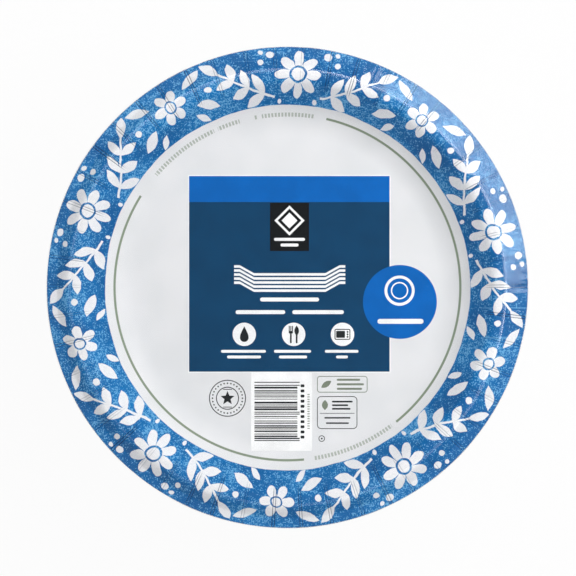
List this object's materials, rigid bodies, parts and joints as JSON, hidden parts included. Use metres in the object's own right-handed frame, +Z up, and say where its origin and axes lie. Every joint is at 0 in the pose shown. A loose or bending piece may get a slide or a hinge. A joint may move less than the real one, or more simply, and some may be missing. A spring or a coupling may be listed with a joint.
{
  "type": "stack of paper plates",
  "caption": "Sealed pack of nested round pressed-paper dinner plates with a deep pleated rim, closed in clear shrink film.",
  "frame": {"origin": "middle of the film's underside, where the pack stands", "axes": "+Z up the stack, +Y towards the top of the printed label as it is read from above"},
  "size_m": [0.2563, 0.2564, 0.2154],
  "materials": {
    "plate_board": "coated board, printed on the food side, satin",
    "shrink_film": "clear glossy shrink film"
  },
  "bodies": {
    "root": {"bottom_plate": "plate_board", "plates_002_to_005": "plate_board", "plates_006_to_009": "plate_board", "plates_010_to_013": "plate_board", "plates_014_to_017": "plate_board", "plates_018_to_021": "plate_board", "plates_022_to_025": "plate_board", "plates_026_to_029": "plate_board", "plates_030_to_033": "plate_board", "plates_034_to_037": "plate_board", "plates_038_to_041": "plate_board", "plates_042_to_045": "plate_board", "plates_046_to_049": "plate_board", "plates_050_to_053": "plate_board", "plates_054_to_057": "plate_board", "plates_058_to_061": "plate_board", "plates_062_to_065": "plate_board", "plates_066_to_069": "plate_board", "plates_070_to_073": "plate_board", "plates_074_to_077": "plate_board", "plates_078_to_081": "plate_board", "plates_082_to_085": "plate_board", "plates_086_to_089": "plate_board", "plates_090_to_093": "plate_board", "plates_094_to_097": "plate_board", "plates_098_to_101": "plate_board", "plates_102_to_105": "plate_board", "plates_106_to_109": "plate_board", "plates_110_to_113": "plate_board", "plates_114_to_117": "plate_board", "plates_118_to_121": "plate_board", "plates_122_to_125": "plate_board", "plates_126_to_129": "plate_board", "plates_130_to_133": "plate_board", "plates_134_to_137": "plate_board", "plates_138_to_141": "plate_board", "plates_142_to_145": "plate_board", "plates_146_to_149": "plate_board", "plates_150_to_153": "plate_board", "plates_154_to_157": "plate_board", "plates_158_to_161": "plate_board", "plates_162_to_165": "plate_board", "plates_166_to_169": "plate_board", "plates_170_to_173": "plate_board", "plates_174_to_177": "plate_board", "plates_178_to_181": "plate_board", "plates_182_to_185": "plate_board", "plates_186_to_189": "plate_board", "plates_190_to_193": "plate_board", "plates_194_to_197": "plate_board", "plates_198_to_201": "plate_board", "plates_202_to_203": "plate_board", "shrink_film": "shrink_film", "top_plate": "plate_board"}
  },
  "joints": []
}
